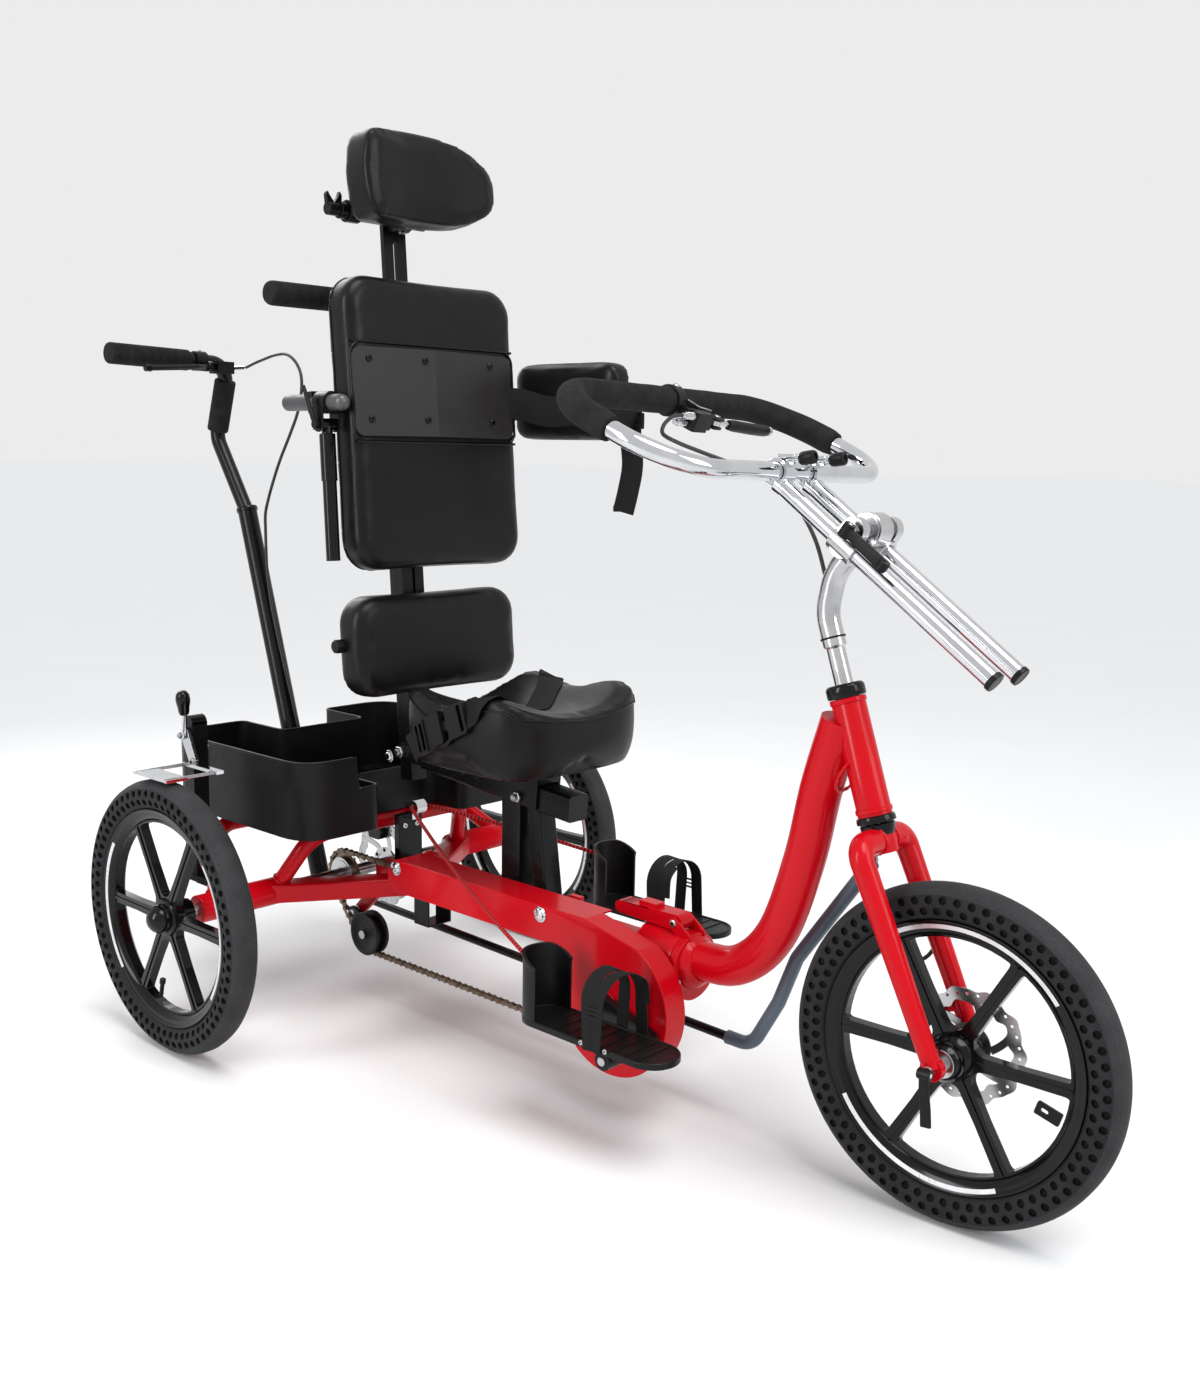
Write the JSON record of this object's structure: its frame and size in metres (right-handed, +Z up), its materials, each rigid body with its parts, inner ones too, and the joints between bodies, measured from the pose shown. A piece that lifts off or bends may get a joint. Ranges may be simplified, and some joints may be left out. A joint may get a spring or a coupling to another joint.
{
  "type": "adaptive tricycle",
  "caption": "Adaptive tricycle with steerable push handle, supportive high-back seat with headrest and lateral supports, padded loop handlebar and strapped foot plates.",
  "frame": {"origin": "bottom centre of the bounding box, on the ground", "axes": "+X forward along the frame, +Y to the rider's left, +Z up"},
  "size_m": [1.6799, 0.798, 1.3092],
  "materials": {
    "black plastic": "matt, fine grain",
    "black vinyl": "satin, stitched seams",
    "black paint": "satin",
    "brushed steel": "brushed",
    "bronzed steel": "dark bronzed",
    "red paint": "gloss",
    "red and black cord": "matt, braided",
    "black webbing": "matt, woven",
    "tyre rubber": "matt",
    "gloss black plastic": "gloss",
    "chrome": "polished",
    "dark foam": "matt foam",
    "blue grey sleeve": "satin"
  },
  "bodies": {
    "frame": {"rear_frame": "red paint", "front_frame": "red paint", "seat_support": "black paint", "chain_guard": "red paint", "basket": "black plastic", "brake_post": "black paint", "cord_post": "black paint", "rear_brake_calliper": "black paint", "chain": "bronzed steel", "front_brake_cable": "black plastic", "push_brake_cable": "black plastic", "elastic_cord": "red and black cord"},
    "fork": {"fork": "red paint", "headset_top": "brushed steel", "front_brake_calliper": "black paint"},
    "front_wheel": {"front_wheel": "gloss black plastic", "front_tyre": "tyre rubber", "front_brake_disc": "brushed steel"},
    "axle_lever": {"axle_lever": "black plastic"},
    "stem": {"stem": "brushed steel"},
    "bar_clamp": {"bar_clamp": "brushed steel"},
    "bar_clamp_lever": {"bar_clamp_lever": "black plastic"},
    "reach_bars": {"reach_bar_right": "chrome", "reach_bar_left": "chrome"},
    "handlebar": {"handlebar": "chrome", "handlebar_grip": "dark foam", "brake_lever_clamp": "black plastic"},
    "front_brake_lever": {"front_brake_lever": "brushed steel"},
    "push_handle": {"push_handle": "black paint", "push_grip": "dark foam"},
    "push_brake_lever": {"push_brake_lever": "brushed steel"},
    "steering_rod": {"steering_rod": "blue grey sleeve"},
    "crank": {"chainring": "black paint", "crank_right": "black paint", "crank_left": "black paint"},
    "pedal_right": {"foot_plate_right": "black plastic", "foot_strap_right": "black webbing"},
    "pedal_left": {"foot_plate_left": "black plastic", "foot_strap_left": "black webbing"},
    "freewheel": {"freewheel": "brushed steel"},
    "tensioner_arm": {"tensioner_arm": "black paint"},
    "tensioner_roller": {"tensioner_roller": "black plastic"},
    "rear_axle": {"rear_axle": "brushed steel", "rear_wheel_right": "gloss black plastic", "rear_tyre_right": "tyre rubber"},
    "left_wheel": {"rear_wheel_left": "gloss black plastic", "rear_tyre_left": "tyre rubber"},
    "latch_lever": {"latch_lever": "red paint"},
    "parking_brake_lever": {"parking_brake_lever": "chrome"},
    "seat": {"seat_swivel": "black paint", "seat_cushion": "black vinyl"},
    "back_post": {"back_post": "black paint"},
    "back_pad": {"back_pad": "black vinyl", "trunk_plate": "black paint", "lateral_bracket": "black paint"},
    "lateral_arm_right": {"lateral_arm_right": "black paint"},
    "lateral_pad_left": {"lateral_pad_left": "black vinyl"},
    "lumbar_pad": {"lumbar_pad": "black vinyl"},
    "headrest_stem": {"headrest_stem": "black paint"},
    "headrest": {"headrest": "black vinyl"}
  },
  "joints": [
    {"name": "steering", "type": "hinge", "parent": "frame", "child": "fork", "pos_m": [0.5249, 0, 0.451], "axis": [-0.3223, 0, 0.9466], "range_deg": [-33.76, 26.24], "deforming": ["front_brake_cable"]},
    {"name": "front_wheel_spin", "type": "hinge", "parent": "fork", "child": "front_wheel", "pos_m": [0.63984, 0.00183, 0.19998], "axis": [-0.0621, 0.9978, -0.0211], "continuous": true},
    {"name": "axle_lever_swing", "type": "hinge", "parent": "fork", "child": "axle_lever", "pos_m": [0.64442, -0.07181, 0.20154], "axis": [-0.9981, -0.0621, 0.0007], "range_deg": [0, 90]},
    {"name": "stem_slide", "type": "slide", "parent": "fork", "child": "stem", "axis": [-0.3223, 0, 0.9466], "range_m": [-0.04, 0], "deforming": ["front_brake_cable"]},
    {"name": "bar_tilt", "type": "hinge", "parent": "stem", "child": "bar_clamp", "pos_m": [0.49673, 0.00538, 0.78794], "axis": [-0.0621, 0.9978, -0.0211], "range_deg": [-15, 10], "deforming": ["front_brake_cable"]},
    {"name": "bar_clamp_lever_turn", "type": "hinge", "parent": "bar_clamp", "child": "bar_clamp_lever", "pos_m": [0.50043, -0.05399, 0.7892], "axis": [-0.5847, -0.0535, -0.8095], "range_deg": [0, 90]},
    {"name": "reach_slide", "type": "slide", "parent": "bar_clamp", "child": "reach_bars", "axis": [0.8089, 0.0379, -0.5868], "range_m": [-0.02, 0.04], "deforming": ["front_brake_cable"]},
    {"name": "handlebar_tilt", "type": "hinge", "parent": "reach_bars", "child": "handlebar", "pos_m": [0.39189, 0.00018, 0.85], "axis": [-0.0621, 0.9978, -0.0211], "range_deg": [-15, 15], "deforming": ["front_brake_cable"]},
    {"name": "front_brake_lever_pull", "type": "hinge", "parent": "handlebar", "child": "front_brake_lever", "pos_m": [0.22715, 0.05282, 0.90961], "axis": [0.4054, 0.0446, 0.9131], "range_deg": [0, 11], "stiffness_Nm_per_rad": 0.6},
    {"name": "push_handle_turn", "type": "hinge", "parent": "frame", "child": "push_handle", "pos_m": [-0.5481, 0, 0.152], "axis": [-0.299, 0, 0.9542], "range_deg": [-33, 26], "deforming": ["push_brake_cable"]},
    {"name": "steering_rod_slide", "type": "slide", "parent": "frame", "child": "steering_rod", "axis": [0.9466, 0, 0.3223], "range_m": [-0.024, 0.03]},
    {"name": "push_brake_lever_pull", "type": "hinge", "parent": "push_handle", "child": "push_brake_lever", "pos_m": [-0.7581, -0.052, 0.998], "axis": [0, 0, -1], "range_deg": [0, 6], "stiffness_Nm_per_rad": 0.6},
    {"name": "crank_turn", "type": "hinge", "parent": "frame", "child": "crank", "pos_m": [0.1859, 0, 0.158], "axis": [0, 1, 0], "continuous": true, "deforming": ["chain", "elastic_cord"]},
    {"name": "freewheel_turn", "type": "hinge", "parent": "frame", "child": "freewheel", "pos_m": [-0.4141, 0, 0.2], "axis": [0, 1, 0], "continuous": true},
    {"name": "pedal_right_turn", "type": "hinge", "parent": "crank", "child": "pedal_right", "pos_m": [0.26761, -0.155, 0.13457], "axis": [0, 1, 0], "continuous": true, "deforming": ["elastic_cord"]},
    {"name": "pedal_left_turn", "type": "hinge", "parent": "crank", "child": "pedal_left", "pos_m": [0.10419, 0.155, 0.18143], "axis": [0, 1, 0], "continuous": true, "deforming": ["elastic_cord"]},
    {"name": "tensioner_swing", "type": "hinge", "parent": "frame", "child": "tensioner_arm", "pos_m": [-0.4161, -0.036, 0.131], "axis": [0, 1, 0], "range_deg": [-4, 4], "stiffness_Nm_per_rad": 3, "deforming": ["chain"]},
    {"name": "tensioner_roller_turn", "type": "hinge", "parent": "tensioner_arm", "child": "tensioner_roller", "pos_m": [-0.3541, -0.05, 0.115], "axis": [0, 1, 0], "continuous": true},
    {"name": "rear_axle_spin", "type": "hinge", "parent": "frame", "child": "rear_axle", "pos_m": [-0.4141, 0, 0.2], "axis": [0, 1, 0], "continuous": true},
    {"name": "left_wheel_spin", "type": "hinge", "parent": "frame", "child": "left_wheel", "pos_m": [-0.4141, 0.364, 0.2], "axis": [0, 1, 0], "continuous": true},
    {"name": "latch_lift", "type": "hinge", "parent": "frame", "child": "latch_lever", "pos_m": [0.2369, 0, 0.2635], "axis": [0, 1, 0], "range_deg": [0, 110]},
    {"name": "parking_brake_lift", "type": "hinge", "parent": "frame", "child": "parking_brake_lever", "pos_m": [-0.4841, -0.2835, 0.446], "axis": [0, -1, 0], "range_deg": [0, 45]},
    {"name": "seat_slide", "type": "slide", "parent": "frame", "child": "seat", "axis": [0.9963, 0, -0.0862], "range_m": [0, 0.06]},
    {"name": "backrest_recline", "type": "hinge", "parent": "frame", "child": "back_post", "pos_m": [-0.3071, 0, 0.41], "axis": [0, -1, 0], "range_deg": [-5, 15]},
    {"name": "back_pad_slide", "type": "slide", "parent": "back_post", "child": "back_pad", "axis": [-0.075, 0, 0.9972], "range_m": [0, 0.04]},
    {"name": "lateral_arm_right_lift", "type": "hinge", "parent": "back_pad", "child": "lateral_arm_right", "pos_m": [-0.2721, -0.18, 0.901], "axis": [0, -1, 0], "range_deg": [0, 90]},
    {"name": "lateral_pad_left_drop", "type": "hinge", "parent": "back_pad", "child": "lateral_pad_left", "pos_m": [-0.2971, 0.2165, 0.93122], "axis": [0, 1, 0], "range_deg": [0, 90]},
    {"name": "lumbar_slide", "type": "slide", "parent": "back_post", "child": "lumbar_pad", "axis": [-0.075, 0, 0.9972], "range_m": [-0.02, 0.02]},
    {"name": "headrest_slide", "type": "slide", "parent": "back_post", "child": "headrest_stem", "axis": [-0.075, 0, 0.9972], "range_m": [0, 0.04]},
    {"name": "headrest_tilt", "type": "hinge", "parent": "headrest_stem", "child": "headrest", "pos_m": [-0.32894, 0, 1.20059], "axis": [0, 1, 0], "range_deg": [-20, 20]}
  ],
  "couplings": [
    {"joint": "push_handle_turn", "follows": "steering", "ratio": 0.934},
    {"joint": "steering_rod_slide", "follows": "steering", "m_per_rad": -0.0467},
    {"joint": "freewheel_turn", "follows": "crank_turn", "ratio": 2},
    {"joint": "pedal_right_turn", "follows": "crank_turn", "ratio": -1},
    {"joint": "pedal_left_turn", "follows": "crank_turn", "ratio": -1},
    {"joint": "tensioner_roller_turn", "follows": "crank_turn", "ratio": 2.4286}
  ]
}
